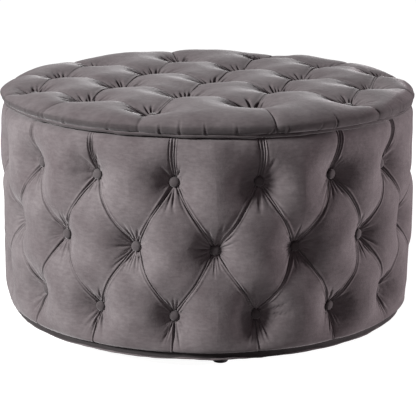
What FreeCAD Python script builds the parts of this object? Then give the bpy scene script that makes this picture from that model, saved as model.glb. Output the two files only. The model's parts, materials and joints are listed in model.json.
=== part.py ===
import FreeCAD, Part
import math
import os

# Round tufted ottoman with a storage compartment under a hinged lid.
# Millimetres. The origin is on the floor at the centre of the round body, +Z is up, +Y is the hinge side.
# Positions round the body are given as an angle from the front (-Y), turning towards +X.

# ---------------------------------------------------------------- overall
OVERALL_RADIUS = 400.0
OVERALL_HEIGHT = 468.0

# ---------------------------------------------------------------- feet and base
FOOT_HEIGHT = 22.0
FOOT_TOP_RADIUS = 16.5
FOOT_SOLE_RADIUS = 14.0
FOOT_SOLE_CHAMFER = 1.5
FOOT_CIRCLE_RADIUS = 325.0
FOOT_NAMES = ("foot_front", "foot_right", "foot_back", "foot_left")
FOOT_TURN = 4.0
FOOT_BOLT_RADIUS = 4.0
FOOT_BOLT_DEPTH = 12.0
TEE_NUT_FLANGE_RADIUS = 11.0
TEE_NUT_FLANGE_THICKNESS = 1.5
TEE_NUT_BARREL_RADIUS = 5.2

BASE_RADIUS = 379.0
BASE_THICKNESS = 12.0
BASE_BAND_THICKNESS = 2.5
DUST_CLOTH_RADIUS = 372.0
DUST_CLOTH_THICKNESS = 0.8
DUST_CLOTH_FOOT_GAP = 1.0

# ---------------------------------------------------------------- frame of the body
WALL_INNER_RADIUS = 320.0
WALL_OUTER_RADIUS = 350.0
LOWER_HOOP_HEIGHT = 22.0
RIM_HEIGHT = 22.0
RIM_OUTER_RADIUS = 366.0
RIM_TOP = 418.0
PANEL_THICKNESS = 3.0
POST_COUNT = 8
POST_DEPTH = 26.0
POST_WIDTH = 45.0
POST_RADIUS = 335.0
POST_TURN = 22.5
LINER_THICKNESS = 2.5
COMPARTMENT_FLOOR_THICKNESS = 4.0
FRAME_SCREW_RADIUS = 2.25
FRAME_SCREW_HEAD_RADIUS = 4.5
FRAME_SCREW_HEAD_DEPTH = 2.6
FRAME_SCREW_LENGTH = 50.0

# ---------------------------------------------------------------- upholstery of the body
COVER_THICKNESS = 2.0
RIM_COVER_THICKNESS = 3.5
COVER_FOOT_RADIUS = 384.0
COVER_FOOT_Z = 40.0
COVER_ROLL_RADIUS = 393.0
COVER_ROLL_Z = 66.0
COVER_SHOULDER_RADIUS = 393.0
COVER_SHOULDER_Z = 396.0
COVER_RIM_RADIUS = 374.0
COVER_WAIST_Z = 225.0
ARC_EASE = 0.30

# ---------------------------------------------------------------- tufting of the body
TUFT_COUNT = 16
TUFT_ROWS = (("body_buttons_lower", 100.0, 0.0),
             ("body_buttons_middle", 221.0, 0.5),
             ("body_buttons_upper", 342.0, 0.0))
TUFT_FIRST_ANGLE = -8.9
TUFT_SEAT_RADIUS = 374.0
DIMPLE_MOUTH_RADIUS = 30.0
DIMPLE_SEAT_RADIUS = 12.0
DIMPLE_REACH = 32.0
BUTTON_RADIUS = 9.5
BUTTON_EDGE_HEIGHT = 2.0
BUTTON_CROWN_HEIGHT = 3.5
BUTTON_STEM_RADIUS = 1.2
BODY_STEM_LENGTH = 25.0

# ---------------------------------------------------------------- lid
LID_BOARD_RADIUS = 380.0
LID_BOARD_Z = 427.0
LID_BOARD_THICKNESS = 12.0
LID_LINING_RADIUS = 379.0
LID_LINING_THICKNESS = 1.0
LID_COVER_EDGE_RADIUS = 389.5
LID_COVER_EDGE_Z = 428.0
LID_WIDEST_Z = 444.0
LID_FLAT_RADIUS = 352.0
WELT_RADIUS = 3.0
WELT_CIRCLE_RADIUS = 389.5
WELT_Z = 425.0

# ---------------------------------------------------------------- tufting of the lid
LID_DIAMOND_WIDTH = 180.0
LID_DIAMOND_LENGTH = 262.0
LID_DIAMOND_TURN = 14.9
LID_DIAMOND_OFFSET_X = 12.0
LID_TUFT_LIMIT = 330.0
LID_TUFT_OUTER_LIMIT = 375.0
LID_TUFT_OUTER_RADIUS = 350.0
LID_TUFT_SEAT_Z = 443.0
LID_STEM_LENGTH = 15.0

# ---------------------------------------------------------------- hinges
HINGE_CENTRE_X = 85.0
HINGE_LENGTH = 60.0
HINGE_AXIS_Y = 395.5
HINGE_AXIS_Z = 423.75
KNUCKLE_RADIUS = 4.0
PIN_RADIUS = 2.5
PIN_CLEARANCE = 0.06
PIN_HEAD_RADIUS = 3.4
PIN_HEAD_LENGTH = 1.2
MOVING_KNUCKLE_LENGTH = 30.0
KNUCKLE_GAP = 0.4
LEAF_THICKNESS = 2.0
LEAF_GAP = 0.5
LEAF_FRONT_Y = 328.0
LEAF_END_Y = 390.7
WELT_NOTCH_MARGIN = 1.5
SCREW_PLACES = ((-20.0, 345.0), (0.0, 335.0), (20.0, 345.0))
SCREW_SHANK_RADIUS = 1.75
SCREW_HEAD_RADIUS = 3.6
SCREW_HEAD_DEPTH = 1.8
BODY_SCREW_LENGTH = 22.0
LID_SCREW_LENGTH = 13.0

# ---------------------------------------------------------------- worked out
FRONT = -90.0
UP = FreeCAD.Vector(0, 0, 1)
DOWN = FreeCAD.Vector(0, 0, -1)
BASE_TOP = FOOT_HEIGHT + BASE_THICKNESS
HOOP_TOP = BASE_TOP + LOWER_HOOP_HEIGHT
RIM_BOTTOM = RIM_TOP - RIM_HEIGHT
PANEL_OUTER_RADIUS = WALL_OUTER_RADIUS + PANEL_THICKNESS
LINER_INNER_RADIUS = WALL_INNER_RADIUS - LINER_THICKNESS
COMPARTMENT_FLOOR_TOP = BASE_TOP + COMPARTMENT_FLOOR_THICKNESS
BODY_TOP = RIM_TOP + RIM_COVER_THICKNESS
LEAF_FIXED_Z = HINGE_AXIS_Z - LEAF_GAP / 2 - LEAF_THICKNESS
LEAF_MOVING_Z = HINGE_AXIS_Z + LEAF_GAP / 2


def vec(x, y, z):
    return FreeCAD.Vector(x, y, z)


def around(radius, angle, z):
    """Point at a radius and an angle from the front."""
    turn = math.radians(FRONT + angle)
    return vec(radius * math.cos(turn), radius * math.sin(turn), z)


def tube(inner, outer, z_low, z_high):
    """Ring or sleeve round the vertical axis."""
    height = z_high - z_low
    return Part.makeCylinder(outer, height, vec(0, 0, z_low)).cut(
        Part.makeCylinder(inner, height, vec(0, 0, z_low)))


def revolve(edges):
    """Solid of revolution of a closed outline in the XZ plane."""
    face = Part.Face(Part.Wire(edges))
    return Part.makeSolid(face.revolve(vec(0, 0, 0), UP, 360))


def line(a, b):
    return Part.LineSegment(vec(a[0], 0, a[1]), vec(b[0], 0, b[1])).toShape()


def arc(a, middle, b):
    return Part.Arc(vec(a[0], 0, a[1]), vec(middle[0], 0, middle[1]), vec(b[0], 0, b[1])).toShape()


def rounded(a, b, corner):
    """Arc from a to b that eases round the corner between them."""
    middle = ((a[0] + b[0]) / 2, (a[1] + b[1]) / 2)
    return arc(a, (middle[0] + ARC_EASE * (corner[0] - middle[0]),
                   middle[1] + ARC_EASE * (corner[1] - middle[1])), b)


def group(solids):
    return Part.makeCompound(solids)


# ---------------------------------------------------------------- base
def foot(angle):
    centre = around(FOOT_CIRCLE_RADIUS, angle, 0)
    sole = Part.makeCone(FOOT_SOLE_RADIUS - FOOT_SOLE_CHAMFER, FOOT_SOLE_RADIUS, FOOT_SOLE_CHAMFER, centre)
    stem = Part.makeCone(FOOT_SOLE_RADIUS, FOOT_TOP_RADIUS, FOOT_HEIGHT - FOOT_SOLE_CHAMFER,
                         centre + vec(0, 0, FOOT_SOLE_CHAMFER))
    return sole.fuse(stem).cut(foot_bolt(angle))


def foot_angles():
    step = 360.0 / len(FOOT_NAMES)
    return [FOOT_TURN + step * index for index in range(len(FOOT_NAMES))]


def foot_bolt(angle):
    start = around(FOOT_CIRCLE_RADIUS, angle, FOOT_HEIGHT - FOOT_BOLT_DEPTH)
    return Part.makeCylinder(FOOT_BOLT_RADIUS, BASE_THICKNESS + FOOT_BOLT_DEPTH, start)


def tee_nut(angle):
    centre = around(FOOT_CIRCLE_RADIUS, angle, FOOT_HEIGHT)
    barrel = Part.makeCylinder(TEE_NUT_BARREL_RADIUS, BASE_THICKNESS, centre)
    flange = Part.makeCylinder(TEE_NUT_FLANGE_RADIUS, TEE_NUT_FLANGE_THICKNESS,
                               centre + vec(0, 0, BASE_THICKNESS - TEE_NUT_FLANGE_THICKNESS))
    return barrel.fuse(flange).cut(foot_bolt(angle))


def base_board():
    board = Part.makeCylinder(BASE_RADIUS, BASE_THICKNESS, vec(0, 0, FOOT_HEIGHT))
    for angle in foot_angles():
        centre = around(FOOT_CIRCLE_RADIUS, angle, FOOT_HEIGHT)
        board = board.cut(Part.makeCylinder(TEE_NUT_BARREL_RADIUS, BASE_THICKNESS, centre))
        board = board.cut(tee_nut(angle))
    return board


def dust_cloth():
    cloth = Part.makeCylinder(DUST_CLOTH_RADIUS, DUST_CLOTH_THICKNESS,
                              vec(0, 0, FOOT_HEIGHT - DUST_CLOTH_THICKNESS))
    hole = FOOT_TOP_RADIUS + DUST_CLOTH_FOOT_GAP
    for angle in foot_angles():
        cloth = cloth.cut(Part.makeCylinder(hole, FOOT_HEIGHT, around(FOOT_CIRCLE_RADIUS, angle, 0)))
    return cloth


# ---------------------------------------------------------------- frame
def post_angles():
    return [POST_TURN + 360.0 / POST_COUNT * index for index in range(POST_COUNT)]


def post(angle):
    block = Part.makeBox(POST_WIDTH, POST_DEPTH, RIM_BOTTOM - HOOP_TOP,
                         vec(-POST_WIDTH / 2, -POST_RADIUS - POST_DEPTH / 2, HOOP_TOP))
    block.rotate(vec(0, 0, 0), UP, angle)
    return block


def countersunk(tip_direction, head_centre, shank_radius, head_radius, head_depth, length):
    """Screw with its flat head face at head_centre, pointing along tip_direction."""
    head = Part.makeCone(head_radius, shank_radius, head_depth, head_centre, tip_direction)
    shank = Part.makeCylinder(shank_radius, length, head_centre, tip_direction)
    return head.fuse(shank)


def frame_screw(angle, z, direction):
    return countersunk(direction, around(POST_RADIUS, angle, z), FRAME_SCREW_RADIUS,
                       FRAME_SCREW_HEAD_RADIUS, FRAME_SCREW_HEAD_DEPTH, FRAME_SCREW_LENGTH)


# ---------------------------------------------------------------- tufting
def tuft_angles(half_steps):
    step = 360.0 / TUFT_COUNT
    return [TUFT_FIRST_ANGLE + step * (index + half_steps) for index in range(TUFT_COUNT)]


def button(seat, outward, stem_length):
    """Covered button: domed head on its seat, and the shank that goes back through the padding."""
    crown = BUTTON_EDGE_HEIGHT + BUTTON_CROWN_HEIGHT
    corners = [(0, crown), (0, -stem_length), (BUTTON_STEM_RADIUS, -stem_length), (BUTTON_STEM_RADIUS, 0),
               (BUTTON_RADIUS, 0), (BUTTON_RADIUS, BUTTON_EDGE_HEIGHT)]
    edges = [line(a, b) for a, b in zip(corners, corners[1:])]
    dome_radius = (BUTTON_RADIUS ** 2 + BUTTON_CROWN_HEIGHT ** 2) / (2 * BUTTON_CROWN_HEIGHT)
    half_angle = math.asin(BUTTON_RADIUS / dome_radius) / 2
    middle = (dome_radius * math.sin(half_angle), crown - dome_radius * (1 - math.cos(half_angle)))
    edges.append(arc(corners[-1], middle, corners[0]))
    shape = revolve(edges)
    shape.Placement = FreeCAD.Placement(seat, FreeCAD.Rotation(UP, outward))
    return shape


def dimple(seat, outward, inset):
    """Tapered hollow that a button pulls into the padding. inset enlarges it for the layer below."""
    return Part.makeCone(DIMPLE_SEAT_RADIUS + inset, DIMPLE_MOUTH_RADIUS + inset, DIMPLE_REACH + inset,
                         seat - outward * inset, outward)


def body_tufts():
    """(node, seat, outward) of every button of the body."""
    tufts = []
    for node, height, half_steps in TUFT_ROWS:
        for angle in tuft_angles(half_steps):
            tufts.append((node, around(TUFT_SEAT_RADIUS, angle, height), around(1, angle, 0)))
    return tufts


def lid_tufts():
    """Seats of the lid's buttons: a turned diamond lattice, with the two end ones drawn in from the edge."""
    turn = math.radians(LID_DIAMOND_TURN)
    reach = range(-3, 4)
    seats = []
    for i in reach:
        for j in reach:
            across = (i - j) * LID_DIAMOND_WIDTH / 2
            along = (i + j) * LID_DIAMOND_LENGTH / 2
            distance = math.hypot(across, along)
            if distance > LID_TUFT_OUTER_LIMIT or (distance > LID_TUFT_LIMIT and i + j != 0):
                continue
            scale = min(1.0, LID_TUFT_OUTER_RADIUS / distance) if distance else 1.0
            x = (across * math.cos(turn) - along * math.sin(turn)) * scale + LID_DIAMOND_OFFSET_X
            y = (across * math.sin(turn) + along * math.cos(turn)) * scale
            seats.append(vec(x, y, LID_TUFT_SEAT_Z))
    return seats


# ---------------------------------------------------------------- body upholstery
def body_form(inset, top, inner_radius):
    """Padded wall, inset from the outer face of the cover, down to the base board."""
    waist = OVERALL_RADIUS - inset
    foot_point = (COVER_FOOT_RADIUS - inset, COVER_FOOT_Z)
    roll = (COVER_ROLL_RADIUS - inset, COVER_ROLL_Z)
    shoulder = (COVER_SHOULDER_RADIUS - inset, COVER_SHOULDER_Z)
    rim = (COVER_RIM_RADIUS - inset, top)
    start = (inner_radius, BASE_TOP)
    base_edge = (COVER_FOOT_RADIUS - inset, BASE_TOP)
    edges = [line(start, base_edge), line(base_edge, foot_point),
             rounded(foot_point, roll, (roll[0], foot_point[1])),
             arc(roll, (waist, COVER_WAIST_Z), shoulder),
             rounded(shoulder, rim, (shoulder[0], rim[1])),
             line(rim, (inner_radius, top)), line((inner_radius, top), start)]
    return revolve(edges)


def body_dimples(inset):
    return [dimple(seat, outward, inset) for node, seat, outward in body_tufts()]


def body_foam():
    block = body_form(COVER_THICKNESS, RIM_TOP, PANEL_OUTER_RADIUS)
    block = block.cut(tube(WALL_OUTER_RADIUS, RIM_OUTER_RADIUS, RIM_BOTTOM, RIM_TOP))
    return block.cut(body_dimples(COVER_THICKNESS))


def body_cover():
    """Velvet cover: over the wall, and over the rim as far as the mouth of the compartment."""
    outer = body_form(0.0, BODY_TOP, LINER_INNER_RADIUS).cut(body_dimples(0.0))
    inner = body_form(COVER_THICKNESS, RIM_TOP, LINER_INNER_RADIUS).cut(body_dimples(COVER_THICKNESS))
    return outer.cut(inner)


# ---------------------------------------------------------------- lid upholstery
def lid_form(inset):
    """Padded lid, inset from the outer face of the cover."""
    widest = (OVERALL_RADIUS - inset, LID_WIDEST_Z)
    top = OVERALL_HEIGHT - inset
    edge = (LID_COVER_EDGE_RADIUS - inset, LID_COVER_EDGE_Z)
    shoulder = (LID_FLAT_RADIUS, top)
    edges = [line((0, LID_COVER_EDGE_Z), edge),
             rounded(edge, widest, (widest[0], edge[1])),
             rounded(widest, shoulder, (widest[0], top)),
             line(shoulder, (0, top)), line((0, top), (0, LID_COVER_EDGE_Z))]
    return revolve(edges)


def lid_dimples(inset):
    return [dimple(seat, UP, inset) for seat in lid_tufts()]


def lid_board():
    return Part.makeCylinder(LID_BOARD_RADIUS, LID_BOARD_THICKNESS, vec(0, 0, LID_BOARD_Z))


def lid_foam():
    return lid_form(COVER_THICKNESS).cut(lid_board()).cut(lid_dimples(COVER_THICKNESS))


def lid_cover():
    return lid_form(0.0).cut(lid_dimples(0.0)).cut(lid_form(COVER_THICKNESS).cut(lid_dimples(COVER_THICKNESS)))


def lid_welt():
    """Piping round the lower edge of the lid, cut away where the hinges pass."""
    welt = Part.makeTorus(WELT_CIRCLE_RADIUS, WELT_RADIUS, vec(0, 0, WELT_Z))
    width = HINGE_LENGTH + 2 * WELT_NOTCH_MARGIN
    for side in (-1, 1):
        start = vec(side * HINGE_CENTRE_X - width / 2, LEAF_FRONT_Y, WELT_Z - 2 * WELT_RADIUS)
        welt = welt.cut(Part.makeBox(width, OVERALL_RADIUS - LEAF_FRONT_Y, 4 * WELT_RADIUS, start))
    return welt


# ---------------------------------------------------------------- hinges
def rod_x(radius, x_low, x_high):
    """Rod along the hinge axis."""
    return Part.makeCylinder(radius, x_high - x_low, vec(x_low, HINGE_AXIS_Y, HINGE_AXIS_Z), vec(1, 0, 0))


def leaf(centre_x, z_low, knuckle_spans, bore_radius, screws):
    low_x = centre_x - HINGE_LENGTH / 2
    plate = Part.makeBox(HINGE_LENGTH, LEAF_END_Y - LEAF_FRONT_Y, LEAF_THICKNESS, vec(low_x, LEAF_FRONT_Y, z_low))
    parts = []
    for start, end in knuckle_spans:
        parts.append(rod_x(KNUCKLE_RADIUS, start, end))
        parts.append(Part.makeBox(end - start, HINGE_AXIS_Y - LEAF_END_Y, LEAF_THICKNESS, vec(start, LEAF_END_Y, z_low)))
    shape = plate.fuse(parts)
    bore = rod_x(bore_radius, low_x, low_x + HINGE_LENGTH)
    return shape.cut([bore] + screws).removeSplitter()


def fixed_leaf(centre_x):
    reach = HINGE_LENGTH / 2
    inner = MOVING_KNUCKLE_LENGTH / 2 + KNUCKLE_GAP
    spans = [(centre_x - reach, centre_x - inner), (centre_x + inner, centre_x + reach)]
    return leaf(centre_x, LEAF_FIXED_Z, spans, PIN_RADIUS, fixed_screws(centre_x))


def moving_leaf(centre_x):
    inner = MOVING_KNUCKLE_LENGTH / 2
    spans = [(centre_x - inner, centre_x + inner)]
    return leaf(centre_x, LEAF_MOVING_Z, spans, PIN_RADIUS + PIN_CLEARANCE, moving_screws(centre_x))


def hinge_pin(centre_x):
    reach = HINGE_LENGTH / 2
    shank = rod_x(PIN_RADIUS, centre_x - reach, centre_x + reach)
    heads = [rod_x(PIN_HEAD_RADIUS, centre_x - reach - PIN_HEAD_LENGTH, centre_x - reach),
             rod_x(PIN_HEAD_RADIUS, centre_x + reach, centre_x + reach + PIN_HEAD_LENGTH)]
    return shank.fuse(heads)


def hinge_screws(centre_x, face_z, direction, length):
    return [countersunk(direction, vec(centre_x + x, y, face_z), SCREW_SHANK_RADIUS,
                        SCREW_HEAD_RADIUS, SCREW_HEAD_DEPTH, length) for x, y in SCREW_PLACES]


def fixed_screws(centre_x):
    return hinge_screws(centre_x, LEAF_FIXED_Z + LEAF_THICKNESS, DOWN, BODY_SCREW_LENGTH)


def moving_screws(centre_x):
    return hinge_screws(centre_x, LEAF_MOVING_Z, UP, LID_SCREW_LENGTH)


# ---------------------------------------------------------------- assembly
def base_nodes():
    nodes = {name: foot(angle) for name, angle in zip(FOOT_NAMES, foot_angles())}
    nodes["foot_bolts"] = group([foot_bolt(angle) for angle in foot_angles()])
    nodes["foot_tee_nuts"] = group([tee_nut(angle) for angle in foot_angles()])
    nodes["base_board"] = base_board()
    nodes["base_band"] = tube(BASE_RADIUS, BASE_RADIUS + BASE_BAND_THICKNESS, FOOT_HEIGHT, BASE_TOP)
    nodes["dust_cloth"] = dust_cloth()
    return nodes


def frame_nodes():
    nodes = {f"post_{index + 1}": post(angle) for index, angle in enumerate(post_angles())}
    nodes["lower_hoop"] = tube(WALL_INNER_RADIUS, WALL_OUTER_RADIUS, BASE_TOP, HOOP_TOP)
    nodes["rim_ring"] = tube(WALL_INNER_RADIUS, RIM_OUTER_RADIUS, RIM_BOTTOM, RIM_TOP)
    nodes["rim_screws"] = group([frame_screw(angle, RIM_TOP, DOWN) for angle in post_angles()])
    nodes["base_screws"] = group([frame_screw(angle, FOOT_HEIGHT, UP) for angle in post_angles()])
    nodes["wall_panel"] = tube(WALL_OUTER_RADIUS, PANEL_OUTER_RADIUS, BASE_TOP, RIM_BOTTOM)
    nodes["compartment_floor"] = Part.makeCylinder(WALL_INNER_RADIUS, COMPARTMENT_FLOOR_THICKNESS,
                                                   vec(0, 0, BASE_TOP))
    nodes["compartment_liner"] = tube(LINER_INNER_RADIUS, WALL_INNER_RADIUS, COMPARTMENT_FLOOR_TOP, RIM_TOP)
    return nodes


def upholstery_nodes():
    nodes = {"body_foam": body_foam(), "body_cover": body_cover()}
    for node, height, half_steps in TUFT_ROWS:
        nodes[node] = group([button(seat, outward, BODY_STEM_LENGTH)
                             for name, seat, outward in body_tufts() if name == node])
    return nodes


def lid_nodes():
    nodes = {"lid_board": lid_board(), "lid_foam": lid_foam(), "lid_cover": lid_cover(), "lid_welt": lid_welt()}
    nodes["lid_lining"] = Part.makeCylinder(LID_LINING_RADIUS, LID_LINING_THICKNESS,
                                            vec(0, 0, LID_BOARD_Z - LID_LINING_THICKNESS))
    nodes["lid_buttons"] = group([button(seat, UP, LID_STEM_LENGTH) for seat in lid_tufts()])
    return nodes


def hinge_nodes():
    nodes = {}
    for side, centre_x in (("left", -HINGE_CENTRE_X), ("right", HINGE_CENTRE_X)):
        nodes[f"hinge_leaf_fixed_{side}"] = fixed_leaf(centre_x)
        nodes[f"hinge_leaf_moving_{side}"] = moving_leaf(centre_x)
        nodes[f"hinge_pin_{side}"] = hinge_pin(centre_x)
        nodes[f"hinge_screws_fixed_{side}"] = group(fixed_screws(centre_x))
        nodes[f"hinge_screws_moving_{side}"] = group(moving_screws(centre_x))
    return nodes


def build():
    nodes = {}
    for part in (base_nodes, frame_nodes, upholstery_nodes, lid_nodes, hinge_nodes):
        nodes.update(part())
    os.makedirs("parts", exist_ok=True)
    for name, shape in nodes.items():
        shape.exportStep(os.path.join("parts", f"{name}.step"))
        print(f"{name:26s} solids {len(shape.Solids):3d} valid {shape.isValid()} volume {shape.Volume:12.0f}")


build()
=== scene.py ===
import json
import math

import bpy
import numpy as np
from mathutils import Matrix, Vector


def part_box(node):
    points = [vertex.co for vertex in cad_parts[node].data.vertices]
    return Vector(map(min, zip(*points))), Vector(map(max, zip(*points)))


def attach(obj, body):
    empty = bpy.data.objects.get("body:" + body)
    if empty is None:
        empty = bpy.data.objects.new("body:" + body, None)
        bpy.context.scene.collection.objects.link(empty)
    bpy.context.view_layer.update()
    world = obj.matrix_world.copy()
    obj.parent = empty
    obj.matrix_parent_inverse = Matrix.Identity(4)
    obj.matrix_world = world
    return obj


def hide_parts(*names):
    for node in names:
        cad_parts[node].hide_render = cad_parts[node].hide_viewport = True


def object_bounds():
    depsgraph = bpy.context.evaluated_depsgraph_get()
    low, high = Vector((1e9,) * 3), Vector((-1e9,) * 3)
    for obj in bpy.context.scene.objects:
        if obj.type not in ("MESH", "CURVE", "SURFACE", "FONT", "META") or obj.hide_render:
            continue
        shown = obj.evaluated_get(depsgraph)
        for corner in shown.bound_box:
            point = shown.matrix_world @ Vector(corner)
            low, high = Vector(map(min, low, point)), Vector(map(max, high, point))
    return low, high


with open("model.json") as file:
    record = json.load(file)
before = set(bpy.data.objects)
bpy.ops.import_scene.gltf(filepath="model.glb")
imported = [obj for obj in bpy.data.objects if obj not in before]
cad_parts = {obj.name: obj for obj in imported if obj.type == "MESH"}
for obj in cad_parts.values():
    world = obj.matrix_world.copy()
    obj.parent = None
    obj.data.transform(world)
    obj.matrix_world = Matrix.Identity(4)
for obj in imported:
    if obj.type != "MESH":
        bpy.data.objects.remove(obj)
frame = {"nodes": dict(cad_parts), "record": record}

# Looks of the round tufted storage ottoman, in metres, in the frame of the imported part:
# origin on the floor at the centre, +Z up, the hinges at +Y. Angles round the body start at the front (-Y).
CAD_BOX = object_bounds()

# ---- driving sizes, read from the frame
MM = 0.001
RADIUS = CAD_BOX[1].x
WALL_RADIUS = 0.39  # the outer wall of the body's outline lies beyond this radius
RIM_FLAT_HEIGHT = 0.4205  # above this height the body's outline is its flat rim
RIM_EDGE_HEIGHT = 0.4145  # where the wall turns over into the rim
LID_EDGE_HEIGHT = 0.4277  # the lid's tucks end where its outline comes down to this height
TUFTS_AROUND = 16
TUFT_ROW_NODES = ("body_buttons_lower", "body_buttons_middle", "body_buttons_upper")
TUFT_ROW_SHIFT = (0.0, 0.5, 0.0)
TUFT_FIRST_ANGLE = math.radians(-8.9)
TUFT_STEP = 2 * math.pi / TUFTS_AROUND
ROW_HEIGHTS = [(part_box(node)[0].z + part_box(node)[1].z) / 2 for node in TUFT_ROW_NODES]
WELT_LOW, WELT_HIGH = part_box("lid_welt")
BASE_LOW, BASE_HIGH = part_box("base_band")

# ---- tufting
# lines of the mesh from a button to the middle of a pleat, in mm before they are fitted to its length
FINE_STEPS = (0, 0.7, 1.4, 2.1, 2.8, 3.6, 4.6, 5.8, 7.0, 8.2, 9.4, 10.6, 11.8, 13.0, 14.2, 15.5, 16.8, 18.2,
              19.7, 21.3, 23.1, 25.2, 27.7, 30.7, 34.3, 38.6, 43.6, 49.0, 54.6, 60.3, 66.0)
PILLOW_EASE = 12 * MM  # how far from a pleat the pillow has filled out
LEAST_NEAR = 0.2 * MM  # keeps the nearness to a pleat finite
BODY_PILLOW_DEPTH = 4.4 * MM
LID_PILLOW_DEPTH = 3.6 * MM
BODY_BOWL_DEPTH = 28.0 * MM
LID_BOWL_DEPTH = 21.0 * MM
BOWL_RADIUS = 34.0 * MM  # the wide dip round a button, counted from the button's edge
LID_BOWL_RADIUS = 40.0 * MM
BOWL_POWER = 1.8
CONE_RADIUS = 8.0 * MM  # the narrow cone right beside the button
CONE_SHARE = 0.30
RIM_BOWL_SHARE = 0.85  # how much of a bowl is filled up next to the lid's rim
ROLLING_HEIGHT = 0.7 * MM  # slow waves over the pillows
GROOVE_DEPTH = 3.0 * MM
GROOVE_WIDTH = 0.80 * MM
LIP_HEIGHT = 1.3 * MM
LIP_WIDTH = 1.5 * MM
LIP_SHIFT = 2.4 * MM  # from a fold line to the lip beside it
PLEAT_SPREAD = (1.2 * MM, 2.1 * MM, 34 * MM)  # half gap midway, added at a button, over what length
SECOND_FOLD = (0.15, 0.85, 32 * MM)  # depth midway, added at a button, over what length
UPRIGHT_PLACES = (-6.2 * MM, -1.0 * MM, 5.6 * MM)  # fold lines from a top button to the rim
LOWER_PLACES = (-1.6 * MM,)
PUCKER_COUNT = 27
PUCKER_WIDTH = 0.80 * MM
PUCKER_SPREAD = 0.033  # how much wider a fold gets with the distance from the button
PUCKER_CURL = 4.0  # radians per metre
PUCKER_DEPTH = 6.6 * MM
PUCKER_STEEPNESS = 2.1
PUCKER_SHORTEST = 20 * MM
PUCKER_LONGEST = 58 * MM
LID_PUCKER_SHARE = 1.8
LID_FOLD_SHARE = 0.32  # the lid is pulled less tight: its folds are shallower
BUTTON_RADIUS = 9.2 * MM
BUTTON_RISE = 5.4 * MM
BUTTON_LIFT = 2.2 * MM  # the button stands this far out of its hollow
BUTTON_RINGS, BUTTON_SIDES = 9, 28
BUTTON_PAD = 9.5 * MM  # the fabric lies flat under the button to this radius

LID_DIAMOND_WIDTH = 0.180
LID_DIAMOND_LENGTH = 0.262
LID_DIAMOND_TURN = math.radians(14.9)
LID_DIAMOND_OFFSET_X = 0.012
LID_TUFT_LIMIT = 0.330
LID_TUFT_OUTER_LIMIT = 0.375
LID_TUFT_OUTER_RADIUS = 0.350
FAN_LEANS = (-46, -31, -17, -5, 9, 22, 38, 52)  # degrees off straight down, under each lowest button
LID_TUCK_COUNT = 52
LID_BAND_LENGTH = 0.14  # from the outer lid buttons to the edge, along the cover
BODY_BAND_ROWS = (40, 60)  # lines of the mesh below the lowest and above the highest creases
LID_BAND_ROWS = 48
BAND_END_ROW = 1.0 * MM
SEAT_PADDING = 1.5 * MM  # foam left between a lid button and the board
WELT_TILT = 0.0085  # the piping hangs lower at +X by this slope

# outer outlines (radius, height), through which a smooth curve is drawn
BODY_OUTLINE = ((0.3720, 0.0356), (0.3800, 0.0356), (0.3890, 0.0372), (0.3940, 0.0450), (0.3972, 0.0740),
                (0.3988, 0.1500), (0.3991, 0.2250), (0.3988, 0.3000), (0.3981, 0.3600), (0.3973, 0.3880),
                (0.3955, 0.4060), (0.3900, 0.4165), (0.3800, 0.4210), (0.3600, 0.4215), (0.3300, 0.4215),
                (0.3235, 0.4213), (0.3185, 0.4190), (0.3164, 0.4140), (0.3160, 0.4050), (0.3160, 0.3900))
LID_OUTLINE = ((0.0, 0.4625), (0.20, 0.4625), (0.30, 0.4624), (0.3350, 0.4612), (0.3600, 0.4580),
               (0.3800, 0.4525), (0.3915, 0.4460), (0.3968, 0.4400), (0.3965, 0.4345), (0.3935, 0.4295),
               (0.3895, 0.4274), (0.3840, 0.4262), (0.3790, 0.4256), (0.3750, 0.4254))


# ---- small maths
def smooth_step(x, low, high):
    t = np.clip((x - low) / (high - low), 0.0, 1.0)
    return t * t * (3 - 2 * t)


def catmull_rom(a, b, c, d, t):
    """Smooth curve from b to c, as t goes from 0 to 1."""
    return b + 0.5 * t * (c - a + t * (2 * a - 5 * b + 4 * c - d + t * (3 * (b - c) + d - a)))


def padded_ends(values):
    """The values with one more, in line with the last two, at both ends."""
    return np.concatenate([2 * values[:1] - values[1:2], values, 2 * values[-1:] - values[-2:-1]])


def between(x, low, full, fall, high):
    """0 below low and above high, 1 from full to fall."""
    return smooth_step(x, low, full) * (1 - smooth_step(x, fall, high))


class Outline:
    """Smooth curve through (radius, height) points, read by the distance along it."""

    def __init__(self, points, per_span=24):
        knots = np.array(points, float)
        padded = padded_ends(knots)
        t = np.linspace(0, 1, per_span, endpoint=False)[:, None]
        spans = [catmull_rom(*four, t) for four in zip(padded, padded[1:], padded[2:], padded[3:])]
        line = np.vstack(spans + [knots[-1:]])
        steps = np.linalg.norm(np.diff(line, axis=0), axis=1)
        self.at = np.concatenate([[0], np.cumsum(steps)])
        self.radius, self.height = line[:, 0], line[:, 1]
        tangent = np.gradient(line, self.at, axis=0)
        tangent /= np.linalg.norm(tangent, axis=1)[:, None]
        self.out_radius, self.out_height = tangent[:, 1], -tangent[:, 0]
        self.length = self.at[-1]

    def place(self, along):
        return np.interp(along, self.at, self.radius), np.interp(along, self.at, self.height)

    def outward(self, along):
        return np.interp(along, self.at, self.out_radius), np.interp(along, self.at, self.out_height)

    def along_at_height(self, height, high):
        """Distance along the outline where its outer wall passes a height, short of the distance high."""
        keep = (self.at <= high) & (self.radius > WALL_RADIUS)
        return float(np.interp(height, self.height[keep], self.at[keep]))


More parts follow.
